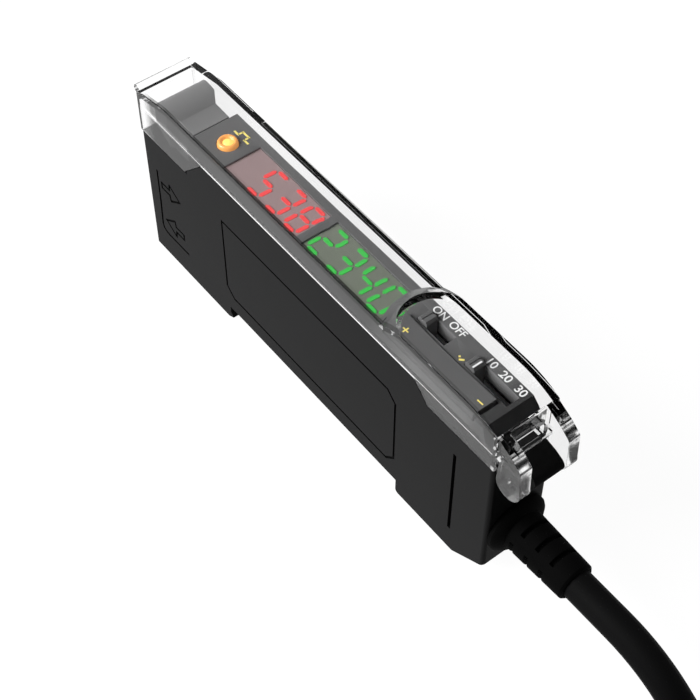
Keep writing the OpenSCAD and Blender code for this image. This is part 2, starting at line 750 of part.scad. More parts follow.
// Compression spring behind the clip
module clip_spring() place() color("silver") {
    n = spring_turns * 10;
    end = spring_wire_r + 0.02;
    z = (clip_low + clip_top) / 2;
    helix = [for (i = [0 : n]) let (a = 360 * spring_turns * i / n)
        [clip_back + end + (spring_l - 2 * end) * i / n, spring_r * cos(a), z + spring_r * sin(a)]];
    tube(helix, spring_wire_r, 6, [1, 0, 0]);
}

// Overmoulded strain relief: round collar, grommet neck and slotted ribs
module strain_relief() place() color("#141415") {
    difference() {
        union() {
            translate([body_l, 0, outlet_h]) rotate([0, 90, 0]) rotate_extrude() relief_profile();
            block(body_l - wall - 1, body_l + 0.1, -2.5, 2.5, outlet_h - 2.5, outlet_h + 2.5);
        }
        for (i = [0 : 2]) {
            rib_slot(body_l + flange_x + 1.9 + rib_pitch * i, 112);
            rib_slot(body_l + flange_x + 1.2 + rib_pitch * i, 252);
        }
    }
}

// Half profile of the collar and the tapered sleeve
module relief_profile() {
    end = flange_x + relief_l;
    polygon([[0, 0], [collar_r, 0], [collar_r, 0.6], [collar_r - 0.25, 1], [collar_r - 0.8, flange_x - 0.1],
        [relief_r, flange_x + 0.15], [relief_tip_r, end - 0.3], [relief_tip_r - 0.3, end], [0, end]]);
}

// One slot of the sleeve, from angle a round the cable, with a web at each end
module rib_slot(x, a) {
    translate([x, 0, outlet_h]) rotate([0, 90, 0]) rotate(a) rotate_extrude(angle = 108)
        translate([relief_tip_r - 0.55, -0.33]) square([relief_r, 0.66]);
}

// Stretch of cable from the strain relief to the coil
module cable() place() color("#161617") tube(cable_route, cable_r, cable_sides, [0, 0, 1]);

// The rest of the cable, wound in a coil beside the unit
module cable_coil() place() color("#161617") translate([coil_x, coil_y, coil_low]) rotate_extrude($fn = 96)
    translate([coil_r - coil_layers * cable_r, 0]) square([coil_layers * cable_d, coil_rows * cable_d]);

// Band that ties the coil
module coil_tie() place() color("#101010") translate([coil_x, coil_y, coil_low]) rotate(215)
    translate([coil_r, -tie_w / 2, 0]) rotate([-90, 0, 0]) linear_extrude(tie_w) mirror([0, 1]) difference() {
        w = coil_layers * cable_d + 0.3;
        h = coil_rows * cable_d + 0.1;
        translate([-w / 2 - tie_t, -tie_t - 0.05]) square([w + 2 * tie_t, h + 2 * tie_t]);
        translate([-w / 2, -0.05]) square([w, h]);
    }

// Stripped leads of the cable's end, laid on top of the coil
module cable_leads() place() translate([coil_x, coil_y, coil_low + coil_rows * cable_d])
    for (i = [0 : 3]) color(["saddlebrown", "white", "royalblue", "black"][i]) rotate(90 - lead_sweep)
        rotate_extrude(angle = lead_sweep)
            translate([coil_r + cable_r + (i - 1.5) * 1.02, lead_r + 0.02]) circle(lead_r);

housing();
side_cover();
top_panel();
red_window();
red_display();
red_segments();
green_window();
green_display();
green_segments();
output_lamp();
rocker_button();
rocker_pin();
rocker_bracket();
tact_switches();
mode_knob();
mode_switch();
output_knob();
output_switch();
display_board();
main_board();
board_parts();
pin_header();
fibre_holder();
emitter_led();
receiver_diode();
clamp_lever();
clamp_pin();
dust_cover();
din_clip();
clip_spring();
strain_relief();
cable();
cable_coil();
coil_tie();
cable_leads();
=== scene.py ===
# Fibre optic sensor amplifier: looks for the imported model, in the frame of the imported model
import math

import bmesh
import bpy
from mathutils import Matrix, Quaternion, Vector


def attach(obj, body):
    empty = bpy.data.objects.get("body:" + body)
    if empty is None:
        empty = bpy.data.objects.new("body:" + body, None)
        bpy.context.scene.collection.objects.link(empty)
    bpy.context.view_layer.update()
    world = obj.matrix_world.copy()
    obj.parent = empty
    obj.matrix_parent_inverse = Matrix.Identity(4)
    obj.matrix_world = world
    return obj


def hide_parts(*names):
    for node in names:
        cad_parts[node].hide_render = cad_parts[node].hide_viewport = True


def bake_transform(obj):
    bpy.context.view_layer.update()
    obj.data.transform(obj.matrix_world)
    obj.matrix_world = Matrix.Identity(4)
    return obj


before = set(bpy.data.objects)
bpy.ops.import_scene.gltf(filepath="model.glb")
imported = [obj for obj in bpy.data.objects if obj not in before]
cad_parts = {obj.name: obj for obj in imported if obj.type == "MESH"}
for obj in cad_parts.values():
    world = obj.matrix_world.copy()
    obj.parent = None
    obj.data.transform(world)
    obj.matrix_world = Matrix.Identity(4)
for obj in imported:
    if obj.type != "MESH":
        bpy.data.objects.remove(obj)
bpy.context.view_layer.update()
scene = bpy.context.scene
scene.view_settings.view_transform = "Standard"


# Camera of the photograph: a long lens above the cable end, looking along the unit
# and down on its panel. The angles and the eye point come from one fit to the photo.
eye = Vector((0.10468, -0.08237, 0.18133))
azimuth = math.radians(52.243)
elevation = math.radians(51.721)
roll = math.radians(-0.089)
to_eye = Vector((math.sin(azimuth) * math.cos(elevation),
                 -math.cos(azimuth) * math.cos(elevation), math.sin(elevation)))
camera_data = bpy.data.cameras.new("photo_camera")
camera_data.lens = 81.24
camera_data.sensor_width = 36
camera_data.clip_start = 0.005
camera_data.clip_end = 20
camera = bpy.data.objects.new("photo_camera", camera_data)
camera.location = eye
camera.rotation_mode = "QUATERNION"
camera.rotation_quaternion = (-to_eye).to_track_quat("-Z", "Y") @ Quaternion((0, 0, 1), roll)
scene.collection.objects.link(camera)
scene.camera = camera


# Studio: a plain floor that looks white to the camera, in reflections and through clear
# plastic but keeps a faint shadow, an even white surround, and one broad soft lamp.
def new_material(name):
    made = bpy.data.materials.new(name)
    made.use_nodes = True
    made.node_tree.nodes.clear()
    return made, made.node_tree.nodes, made.node_tree.links


def new_object(name, data):
    made = bpy.data.objects.new(name, data)
    scene.collection.objects.link(made)
    return made


def by_ray(nodes, links, kind, others, these):
    """One shader for rays of a kind, another for all other rays."""
    light = nodes.new("ShaderNodeLightPath")
    pick = nodes.new("ShaderNodeMixShader")
    links.new(light.outputs[kind], pick.inputs[0])
    links.new(others, pick.inputs[1])
    links.new(these, pick.inputs[2])
    return pick.outputs[0]


def diffuse(nodes, grey):
    made = nodes.new("ShaderNodeBsdfDiffuse")
    made.inputs["Color"].default_value = (grey, grey, grey, 1)
    return made.outputs[0]


def emitter(nodes, kind, strength):
    made = nodes.new(kind)
    made.inputs["Strength"].default_value = strength
    return made.outputs[0]


def set_surface(nodes, links, surface, kind="ShaderNodeOutputMaterial"):
    links.new(surface, nodes.new(kind).inputs["Surface"])


white_rays = ("Is Glossy Ray", "Is Transmission Ray", "Is Camera Ray")
floor_mesh = bpy.data.meshes.new("studio_floor")
floor_mesh.from_pydata([(x, y, 0) for x, y in ((-2, -2), (2, -2), (2, 2), (-2, 2))], [], [(0, 1, 2, 3)])
studio_floor = new_object("studio_floor", floor_mesh)
floor_look, nodes, links = new_material("studio_floor")
surface = diffuse(nodes, 0.19)
lifted = nodes.new("ShaderNodeAddShader")
links.new(diffuse(nodes, 0.10), lifted.inputs[0])
links.new(emitter(nodes, "ShaderNodeEmission", 0.96), lifted.inputs[1])
for kind in white_rays:
    surface = by_ray(nodes, links, kind, surface, lifted.outputs[0])
set_surface(nodes, links, surface)
floor_mesh.materials.append(floor_look)

surround = bpy.data.worlds.new("studio_surround")
scene.world = surround
surround.use_nodes = True
nodes, links = surround.node_tree.nodes, surround.node_tree.links
nodes.clear()
surface = emitter(nodes, "ShaderNodeBackground", 0.12)
for kind in white_rays:
    surface = by_ray(nodes, links, kind, surface, emitter(nodes, "ShaderNodeBackground", 1))
set_surface(nodes, links, surface, "ShaderNodeOutputWorld")

lamp_data = bpy.data.lights.new("soft_lamp", "AREA")
lamp_data.size = 0.35
lamp_data.energy = 5.5
soft_lamp = bpy.data.objects.new("soft_lamp", lamp_data)
soft_lamp.location = (-0.20, -0.42, 0.30)
soft_lamp.rotation_mode = "QUATERNION"
soft_lamp.rotation_quaternion = (-soft_lamp.location).to_track_quat("-Z", "Y")
scene.collection.objects.link(soft_lamp)


# Housing and side cover: a tub and a lid moulded in black glass-filled plastic with
# a fine satin spark finish. The lid snaps on the far side; every edge has a small radius.
origin_x = 44.05  # millimetres from the fibre face to the origin of the frame


def at(x, y, z):
    """Point of the frame from millimetres, x measured from the fibre face."""
    return Vector((x - origin_x, y, z)) / 1000


def map_range(nodes, links, value, start, end, low, high):
    """Turn a value between start and end into one between low and high."""
    made = nodes.new("ShaderNodeMapRange")
    for socket, number in (("From Min", start), ("From Max", end), ("To Min", low), ("To Max", high)):
        made.inputs[socket].default_value = number
    links.new(value, made.inputs["Value"])
    return made.outputs["Result"]


def calculate(nodes, links, operation, *values):
    """A sum on sockets and plain numbers."""
    made = nodes.new("ShaderNodeMath")
    made.operation = operation
    for place, value in enumerate(values):
        if isinstance(value, (int, float)):
            made.inputs[place].default_value = value
        else:
            links.new(value, made.inputs[place])
    return made.outputs[0]


def scaled(nodes, links, colour, factor):
    made = nodes.new("ShaderNodeVectorMath")
    made.operation = "SCALE"
    links.new(colour, made.inputs[0])
    links.new(factor, made.inputs["Scale"])
    return made.outputs["Vector"]


def grain_group():
    """Fine grain, and broad soft changes of tone and gloss."""
    group = bpy.data.node_groups.new("moulded_grain", "ShaderNodeTree")
    sockets = group.interface
    for name, value in (("Scale", 9000.0), ("Roughness", 0.45), ("Spread", 0.1)):
        sockets.new_socket(name, in_out="INPUT", socket_type="NodeSocketFloat").default_value = value
    tint = sockets.new_socket("Colour", in_out="INPUT", socket_type="NodeSocketColor")
    tint.default_value = (0.02, 0.02, 0.02, 1)
    sockets.new_socket("Base", in_out="OUTPUT", socket_type="NodeSocketColor")
    sockets.new_socket("Rough", in_out="OUTPUT", socket_type="NodeSocketFloat")
    sockets.new_socket("Height", in_out="OUTPUT", socket_type="NodeSocketFloat")
    nodes, links = group.nodes, group.links
    given = nodes.new("NodeGroupInput")
    result = nodes.new("NodeGroupOutput")
    where = nodes.new("ShaderNodeTexCoord")
    fine = nodes.new("ShaderNodeTexNoise")
    fine.inputs["Detail"].default_value = 3
    links.new(where.outputs["Object"], fine.inputs["Vector"])
    links.new(given.outputs["Scale"], fine.inputs["Scale"])
    broad = nodes.new("ShaderNodeTexNoise")
    broad.inputs["Scale"].default_value = 160
    broad.inputs["Detail"].default_value = 4
    links.new(where.outputs["Object"], broad.inputs["Vector"])
    swing = calculate(nodes, links, "SUBTRACT", broad.outputs["Fac"], 0.5)
    rough = calculate(nodes, links, "MULTIPLY_ADD", swing, given.outputs["Spread"], given.outputs["Roughness"])
    shade = map_range(nodes, links, broad.outputs["Fac"], 0, 1, 0.9, 1.1)
    links.new(scaled(nodes, links, given.outputs["Colour"], shade), result.inputs["Base"])
    links.new(rough, result.inputs["Rough"])
    links.new(fine.outputs["Fac"], result.inputs["Height"])
    return group


moulded_grain = grain_group()


def grained(nodes, **values):
    """The outputs of the grain group, with these values at its inputs."""
    made = nodes.new("ShaderNodeGroup")
    made.node_tree = moulded_grain
    for socket, value in values.items():
        made.inputs[socket].default_value = value
    return made.outputs


def moulded(name, colour, roughness, specular=0.3, grain=0.00001, scale=9000.0, metallic=0.0):
    made, nodes, links = new_material(name)
    shader = nodes.new("ShaderNodeBsdfPrincipled")
    shader.inputs["Specular IOR Level"].default_value = specular
    shader.inputs["Metallic"].default_value = metallic
    face = grained(nodes, Colour=(*colour, 1), Roughness=roughness, Scale=scale)
    bump = nodes.new("ShaderNodeBump")
    bump.inputs["Distance"].default_value = grain
    bump.inputs["Strength"].default_value = 0.6
    links.new(face["Base"], shader.inputs["Base Color"])
    links.new(face["Rough"], shader.inputs["Roughness"])
    links.new(face["Height"], bump.inputs["Height"])
    links.new(bump.outputs["Normal"], shader.inputs["Normal"])
    set_surface(nodes, links, shader.outputs[0])
    return made


def finish_node(node, look):
    """Give a CAD node that stays its material."""
    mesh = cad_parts[node].data
    mesh.materials.clear()
    mesh.materials.append(look)


def shaped_object(name, shape, *looks):
    """An object from a finished bmesh."""
    mesh = bpy.data.meshes.new(name)
    shape.to_mesh(mesh)
    shape.free()
    for look in looks:
        mesh.materials.append(look)
    return new_object(name, mesh)


def rounded_copy(node, name, body, look, radius, angle=32, segments=3, crease=32):
    """A copy of a CAD node with its flat faces joined and its edges rounded."""
    shape = bmesh.new()
    shape.from_mesh(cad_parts[node].data)
    bmesh.ops.remove_doubles(shape, verts=shape.verts, dist=2e-6)
    bmesh.ops.dissolve_limit(shape, angle_limit=math.radians(0.5), verts=shape.verts, edges=shape.edges)
    made = shaped_object(name, shape, look)
    bevel = made.modifiers.new("rounded", "BEVEL")
    bevel.width = radius / 1000
    bevel.segments = segments
    bevel.limit_method = "ANGLE"
    bevel.angle_limit = math.radians(angle)
    bevel.miter_outer = "MITER_ARC"
    bevel.harden_normals = True
    for face in made.data.polygons:
        face.use_smooth = True
        face.material_index = 0
    made.data.set_sharp_from_angle(angle=math.radians(crease))
    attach(made, body)
    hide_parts(node)
    return made


def second_look(made, look, chosen):
    """Give another material to the faces that a test of their middle and normal chooses."""
    made.data.materials.append(look)
    last = len(made.data.materials) - 1
    for face in made.data.polygons:
        middle = face.center * 1000
        if chosen(middle.x + origin_x, middle.y, middle.z, face.normal):
            face.material_index = last


black_housing = moulded("black_housing", (0.012, 0.012, 0.0122), 0.4, 0.013)
# Painted shade: the side groove floors and the upper part of the cable end face get a near-black material
painted_groove_shade = moulded("painted_groove_shade", (0.0008, 0.0008, 0.0008), 0.8, 0.05)
tub = rounded_copy("housing", "housing_tub", "amplifier", black_housing, 0.06)
tub.modifiers["rounded"].harden_normals = False
tub.modifiers.new("flat_faces", "WEIGHTED_NORMAL").weight = 100
lug_x = 75
second_look(tub, painted_groove_shade, lambda x, y, z, normal: (
    1 < x < lug_x and -4.895 < y < -4.35 and 1 < z < 23 or x > 76.6 and z > 18))
# The side grooves are widened a little, so that they show as clearly as in the photo
groove_widening = 0.0001
outwards = {}
for face in tub.data.polygons:
    if face.material_index and face.center.x < at(lug_x, 0, 0).x and abs(face.normal.y) < 0.1:
        for index in face.vertices:
            outwards.setdefault(index, Vector())
            outwards[index] += face.normal
for index, normal in outwards.items():
    tub.data.vertices[index].co -= normal.normalized() * groove_widening
lid = rounded_copy("side_cover", "housing_lid", "amplifier", black_housing, 0.12)


# Rail clip: a slide of the same plastic in the rear foot, pushed forward by a small
# wound steel spring, so that it snaps over the edge of the mounting rail.
finish_node("din_clip", moulded("clip_black", (0.016, 0.016, 0.017), 0.55))
bright_steel = moulded("bright_steel", (0.62, 0.62, 0.61), 0.3, 0.5, 0.000004, 4000, 1.0)
spring_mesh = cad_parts["clip_spring"].data.copy()
spring_mesh.materials.clear()
spring_mesh.materials.append(bright_steel)
rail_spring = new_object("rail_spring", spring_mesh)
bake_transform(rail_spring)
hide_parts("clip_spring")


# Circuit boards with their parts: green solder mask over glass cloth, black moulded
# chips, and a black header that joins the upright board to the display board.
board_green = moulded("board_green", (0.012, 0.07, 0.035), 0.4, 0.5, 0.00002, 2500)
finish_node("display_board", board_green)
finish_node("main_board", board_green)
chip_black = moulded("chip_black", (0.018, 0.018, 0.02), 0.6)
finish_node("board_parts", chip_black)
finish_node("pin_header", chip_black)


# Fibre holder: a grey moulded block behind the two ports, with the red emitter and
# the dark receiver pressed in its back, in line with the fibres.
finish_node("fibre_holder", moulded("holder_grey", (0.045, 0.045, 0.048), 0.55))
finish_node("emitter_led", moulded("emitter_red", (0.45, 0.04, 0.035), 0.2, 0.5))
finish_node("receiver_diode", moulded("receiver_dark", (0.02, 0.022, 0.035), 0.2, 0.5))


# Displays: two modules of four digits each, under a red window and a smoke window.
# The lit bars are bright plastic light guides; the others have the colour of the face.
def glowing(name, colour, strength, base):
    made, nodes, links = new_material(name)
    shader = nodes.new("ShaderNodeBsdfPrincipled")
    shader.inputs["Roughness"].default_value = 0.4
    shader.inputs["Emission Strength"].default_value = strength
    face = grained(nodes, Colour=(*base, 1), Scale=3000)
    glow = grained(nodes, Colour=(*colour, 1))
    links.new(face["Base"], shader.inputs["Base Color"])
    links.new(glow["Base"], shader.inputs["Emission Color"])
    set_surface(nodes, links, shader.outputs[0])
    return made


def add_prism(shape, low, high):
    """Close two loops with as many points each into a prism."""
    low = [shape.verts.new(point) for point in low]
    high = [shape.verts.new(point) for point in high]
    shape.faces.new(low[::-1])
    shape.faces.new(high)
    for i in range(len(low)):
        j = (i + 1) % len(low)
        shape.faces.new((low[i], low[j], high[j], high[i]))


def bar_outline(long, thick):
    half, tip = long / 2, thick / 2
    return [(-half + tip, -tip), (half - tip, -tip), (half, 0),
            (half - tip, tip), (-half + tip, tip), (-half, 0)]


bar_thick, digit_wide, bar_half, lean = 0.58, 2.5, 2.5, 0.045
digit_pitch, digit_shift_x, digit_shift_y = 4.1, -0.17, -0.3
bar_low, lit_high, dark_high = 28.95, 29.05, 28.955
bar_places = {
    "a": (0, bar_half, False), "g": (0, 0, False), "d": (0, -bar_half, False),
    "b": (digit_wide / 2, bar_half / 2, True), "c": (digit_wide / 2, -bar_half / 2, True),
    "f": (-digit_wide / 2, bar_half / 2, True), "e": (-digit_wide / 2, -bar_half / 2, True),
}
lit_bars = {" ": "", "0": "abcdef", "2": "abged", "3": "abgcd", "4": "fgbc", "5": "afgcd", "8": "abcdefg"}


def digit_bars(name, node, window_x, shown, lit, look):
    shape = bmesh.new()
    for place, digit in enumerate(shown):
        middle = window_x + digit_pitch * (place + 0.5) + digit_shift_x
        for bar, (x, y, upright) in bar_places.items():
            if (bar in lit_bars[digit]) != lit:
                continue
            outline = bar_outline(bar_half - 0.4 if upright else digit_wide - 0.55, bar_thick)
            if upright:
                outline = [(-v, u) for u, v in outline]
            points = [(x + u + lean * (y + v) + middle, y + v + digit_shift_y) for u, v in outline]
            add_prism(shape, [at(u, v, bar_low) for u, v in points],
                      [at(u, v, lit_high if lit else dark_high) for u, v in points])
    made = shaped_object(name, shape, look)
    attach(made, "amplifier")
    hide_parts(node)


red_face = moulded("red_face", (0.44, 0.335, 0.337), 0.5, 0.2, 0.0000001)
smoke_face = moulded("smoke_face", (0.237, 0.267, 0.21), 0.5, 0.2, 0.0000001)
finish_node("red_display", red_face)
finish_node("green_display", smoke_face)
red_lit = glowing("red_lit", (0.88, 0.035, 0.04), 0.95, (0.3, 0.03, 0.03))
green_lit = glowing("green_lit", (0.012, 0.45, 0.025), 0.95, (0.02, 0.25, 0.05))
red_x, green_x = 18.9, 36.3
digit_bars("red_bars_lit", "red_segments", red_x, " 538", True, red_lit)
digit_bars("red_bars_dark", "red_segments", red_x, " 538", False, red_face)
digit_bars("green_bars_lit", "green_segments", green_x, "2340", True, green_lit)
digit_bars("green_bars_dark", "green_segments", green_x, "2340", False, smoke_face)


def tinted_window(name, colour, alpha):
    made, nodes, links = new_material(name)
    shader = nodes.new("ShaderNodeBsdfPrincipled")
    shader.inputs["Alpha"].default_value = alpha
    face = grained(nodes, Colour=(*colour, 1), Roughness=0.12, Spread=0.04)
    links.new(face["Base"], shader.inputs["Base Color"])
    links.new(face["Rough"], shader.inputs["Roughness"])
    set_surface(nodes, links, shader.outputs[0])
    return made


red_tint = tinted_window("red_tint", (0.20, 0.10, 0.10), 0.12)
red_pane = rounded_copy("red_window", "red_pane", "amplifier", red_tint, 0.06)
smoke_tint = tinted_window("smoke_tint", (0.08, 0.085, 0.08), 0.12)
green_pane = rounded_copy("green_window", "green_pane", "amplifier", smoke_tint, 0.06)


# Output lamp: an amber lens that stands through the panel, with a raised rim and a
# bright yellow middle where the light source sits close under the lens.
amber_lens = glowing("amber_lens", (0.85, 0.33, 0.07), 0.55, (0.55, 0.25, 0.06))
yellow_glow = glowing("yellow_glow", (0.95, 0.62, 0.14), 0.9, (0.6, 0.4, 0.1))
lens_x, lens_y, lens_sides, first_glowing_ring = 15.6, -0.28, 40, 9
lens_rings = [(1.8, 22.8), (1.8, 23.6), (1.5, 23.6), (1.5, 29.2), (1.45, 29.5), (1.32, 29.72), (1.12, 29.8),
              (0.95, 29.74), (0.82, 29.55), (0.74, 29.42), (0.66, 29.5), (0.45, 29.62), (0.2, 29.66)]
shape = bmesh.new()
loops = [[shape.verts.new(at(lens_x + r * math.cos(a), lens_y + r * math.sin(a), z))
          for a in (math.tau * i / lens_sides for i in range(lens_sides))] for r, z in lens_rings]
for ring, (low, high) in enumerate(zip(loops, loops[1:])):
    for i in range(lens_sides):
        j = (i + 1) % lens_sides
        face = shape.faces.new((low[i], low[j], high[j], high[i]))
        face.smooth = True
        face.material_index = int(ring >= first_glowing_ring)
shape.faces.new(loops[0][::-1])
shape.faces.new(loops[-1]).material_index = 1
output_lens = shaped_object("output_lens", shape, amber_lens, yellow_glow)
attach(output_lens, "amplifier")
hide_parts("output_lamp")


# Control panel: one dark grey moulding with a satin face that closes the top, with
# printed marks for the lamp, the rocker and the two slide switches. Painted shade darkens
# it towards its sloped rear end and on the slope; painted light makes the slot walls lighter.
panel_grey = moulded("panel_grey", (0.115, 0.115, 0.116), 0.45, 0.1)
nodes, links = panel_grey.node_tree.nodes, panel_grey.node_tree.links
place = nodes.new("ShaderNodeSeparateXYZ")
links.new(nodes.new("ShaderNodeTexCoord").outputs["Object"], place.inputs[0])
# Painted shade: the colour fades darker towards the sloped rear end
painted_rear_shade = map_range(nodes, links, place.outputs["X"], 0.0256, 0.0280, 1, 0.4)
links.new(scaled(nodes, links, nodes["Group"].outputs["Base"], painted_rear_shade),
          nodes["Principled BSDF"].inputs["Base Color"])
panel_top, slope_x = 29.25, 72.8
panel = rounded_copy("top_panel", "control_panel", "amplifier", panel_grey, 0.08)
# Painted light: the walls of the switch slots get a lighter grey, to lift the shade in the slots
painted_light_slot_wall = moulded("painted_light_slot_wall", (0.15, 0.15, 0.151), 0.5, 0.1)
second_look(panel, painted_light_slot_wall, lambda x, y, z, normal: (
    54 < x < slope_x and 0 < y < 3 and z < 29.2 and abs(normal.z) < 0.3))
# Painted shade: the sloped rear faces get a near-black grey
painted_slope_shade = moulded("painted_slope_shade", (0.02, 0.02, 0.0205), 0.5, 0.1)
second_look(panel, painted_slope_shade, lambda x, y, z, normal: x > slope_x)


def print_ink(name, colour):
    return moulded(name, colour, 0.6, 0.3, 0.000003, 12000)


ink_thick = 0.02


def printed(name, strips, look, body="amplifier", top=lambda x: panel_top):
    """Thin ink: each strip is x, y of its two ends and its width; top gives the height of the face."""
    shape = bmesh.new()
    for x0, y0, x1, y1, wide in strips:
        along = Vector((x1 - x0, y1 - y0)).normalized()
        side = Vector((-along.y, along.x)) * wide / 2
        ends = [(x0 + side.x, y0 + side.y), (x0 - side.x, y0 - side.y),
                (x1 - side.x, y1 - side.y), (x1 + side.x, y1 + side.y)]
        add_prism(shape, [at(u, v, top(u)) for u, v in ends], [at(u, v, top(u) + ink_thick) for u, v in ends])
    made = shaped_object(name, shape, look)
    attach(made, body)


yellow_ink = print_ink("yellow_ink", (0.95, 0.80, 0.22))
white_ink = print_ink("white_ink", (0.93, 0.93, 0.93))
printed("pulse_mark", [
    (14.15, 1.85, 15.25, 1.85, 0.3), (15.1, 1.85, 15.1, 2.65, 0.3), (14.95, 2.65, 16.65, 2.65, 0.3),
    (16.5, 2.65, 16.5, 1.85, 0.3), (16.35, 1.85, 17.45, 1.85, 0.3)], yellow_ink)
printed("centre_mark", [(63.4, 0.45, 63.9, 0.95, 0.28), (63.0, 0.75, 63.2, 0.95, 0.25)], yellow_ink)


def lettered(name, text, x, y, high):
    """Plain white characters, flat on the panel and upright towards +Y."""
    line = bpy.data.curves.new(name, "FONT")
    line.body = text
    line.size = high * 1.37 / 1000
    line.align_x = line.align_y = "CENTER"
    line.offset = high * 0.02 / 1000
    line.extrude = ink_thick / 2000
    pattern = bpy.data.objects.new(name + "_pattern", line)
    mesh = bpy.data.meshes.new_from_object(pattern)
    bpy.data.objects.remove(pattern)
    mesh.transform(Matrix.Translation(at(x, y, panel_top + ink_thick / 2)))
    mesh.materials.clear()
    mesh.materials.append(white_ink)
    made = new_object(name, mesh)
    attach(made, "amplifier")


for text, x in (("ON", 56.45), ("OFF", 59.75)):
    lettered("output_label_" + text.lower(), text, x, 3.38, 1.15)
for text, x in (("10", 66.3), ("20", 68.85), ("30", 71.5)):
    lettered("mode_label_" + text, text, x, 3.22, 1.2)


# Rocker button: a dark moulded bar with a dished top, tilting on a steel pin between
# two posts, over three tactile switches on the display board.
def rocker_top(x):
    return 29.45 + (x - 62.5) ** 2 / 200


button_black = moulded("button_black", (0.118, 0.118, 0.119), 0.45, 0.1)
rocker = rounded_copy("rocker_button", "rocker_bar", "rocker", button_black, 0.06, 40, 2)
printed("rocker_plus", [(55.62, -1.95, 56.58, -1.95, 0.2), (56.1, -2.43, 56.1, -1.47, 0.2)],
        yellow_ink, "rocker", rocker_top)
printed("rocker_minus", [(69.55, -1.95, 70.55, -1.95, 0.2)], yellow_ink, "rocker", rocker_top)
finish_node("rocker_pin", bright_steel)
finish_node("rocker_bracket", chip_black)
finish_node("tact_switches", moulded("switch_grey", (0.1, 0.1, 0.105), 0.5))


# Slide switches: light grey bodies on the board, each with a dark knob that has a
# grip ridge and stands through a slot in the panel.
# The bodies carry painted light as well: lighter than their own grey, so that the shade at the bottom of the
# slots looks lifted
switch_body_painted_light = moulded("switch_body_painted_light", (0.65, 0.65, 0.652), 0.5)
finish_node("mode_switch", switch_body_painted_light)
finish_node("output_switch", switch_body_painted_light)
for node, body in (("mode_knob", "mode_slider"), ("output_knob", "output_slider")):
    knob = rounded_copy(node, body + "_knob", body, button_black, 0.06)
knob_top = 29.95
printed("mode_tick", [(65.75, 0.62, 65.75, 2.1, 0.25)], white_ink, "mode_slider", lambda x: knob_top)


# Clamp lever: a charcoal moulding that turns on a steel pin and presses both fibres
# fast; its wide head is pushed up by a thumb.
lever_black = moulded("lever_black", (0.19, 0.19, 0.191), 0.5, 0.2)
lever = rounded_copy("clamp_lever", "clamp_lever_arm", "lever", lever_black, 0.2)
finish_node("clamp_pin", bright_steel)


# Dust cover: clear polished polycarbonate, moulded in one piece with its side walls,
# skirts, dome and hinge ears. It swings up on the lug at the cable end.
def clear_plastic_look(name, tint, rough=0.0):
    """Clear plastic with painted shade: a grey tint on the near wall, clearer at its foot and ends; rays that
    bounce often in the upper cover end dark.
    """
    made, nodes, links = new_material(name)
    shader = nodes.new("ShaderNodeBsdfPrincipled")
    shader.inputs["Transmission Weight"].default_value = 1
    shader.inputs["IOR"].default_value = 1.43
    shader.inputs["Specular Tint"].default_value = (0, 0, 0, 1)
    links.new(grained(nodes, Roughness=rough, Spread=0.004)["Rough"], shader.inputs["Roughness"])
    place = nodes.new("ShaderNodeSeparateXYZ")
    links.new(nodes.new("ShaderNodeTexCoord").outputs["Object"], place.inputs[0])
    x, y, z = place.outputs
    # Painted shade: the near wall is tinted grey, except at its foot, its rear and its front
    painted_shade_tint = map_range(nodes, links, y, -0.00438, -0.00435, 0.18 * tint, tint)
    wall_foot = calculate(nodes, links, "COMPARE", z, 0.0284, 0.0004)
    rear_end = map_range(nodes, links, x, 0.004, 0.017, 0, 0.6 * tint)
    front_end = map_range(nodes, links, x, -0.0425, -0.0400, 0.95 * tint, 0)
    for other in (wall_foot, rear_end, front_end):
        painted_shade_tint = calculate(nodes, links, "MAXIMUM", painted_shade_tint, other)
    links.new(painted_shade_tint, shader.inputs["Base Color"])
    light = nodes.new("ShaderNodeLightPath")
    deep = calculate(nodes, links, "GREATER_THAN", light.outputs["Ray Depth"], 4.5)
    upper = calculate(nodes, links, "GREATER_THAN", z, 0.0287)
    guided = nodes.new("ShaderNodeMixShader")
    links.new(calculate(nodes, links, "MULTIPLY", deep, upper), guided.inputs[0])
    links.new(shader.outputs[0], guided.inputs[1])
    links.new(diffuse(nodes, 0.01), guided.inputs[2])
    through = nodes.new("ShaderNodeBsdfTransparent").outputs[0]
    surface = by_ray(nodes, links, "Is Diffuse Ray", guided.outputs[0], through)
    surface = by_ray(nodes, links, "Is Shadow Ray", surface, through)
    set_surface(nodes, links, surface)
    return made


clear_plastic = clear_plastic_look("clear_plastic", 1)
cover = rounded_copy("dust_cover", "clear_cover", "cover", clear_plastic, 0.06, crease=10.5)
# Painted shade: the tops of the ear arms and of the bridge get a dark tint, the rims of the ears satin
second_look(cover, clear_plastic_look("clear_painted_dark", 0.12), lambda x, y, z, normal: normal.z > 0.4 and (
    x > 76.45 and z > 30.5 and abs(y) > 2.8 or x > 75.7 and 28.4 < z < 29 and abs(y) < 2.95))
second_look(cover, clear_plastic_look("clear_satin", 1, 0.22), lambda x, y, z, normal: (
    x > 78.9 and z < 30.5 and abs(y) > 2.8 and abs(normal.y) < 0.3))
# A painted highlight: the lower edge of the near wall turns white when seen at a slant, standing in for light
# guided inside the clear wall
painted_edge_highlight = moulded("painted_edge_highlight", (0.9, 0.9, 0.9), 0.6, 0.1)
nodes, links = painted_edge_highlight.node_tree.nodes, painted_edge_highlight.node_tree.links
facing = nodes.new("ShaderNodeLayerWeight").outputs["Facing"]
links.new(map_range(nodes, links, facing, 0.2, 0.35, 0.01, 1), nodes["Principled BSDF"].inputs["Base Color"])
second_look(cover, painted_edge_highlight, lambda x, y, z, normal: normal.z < -0.9 and 28 < z < 28.3 and y < -4)
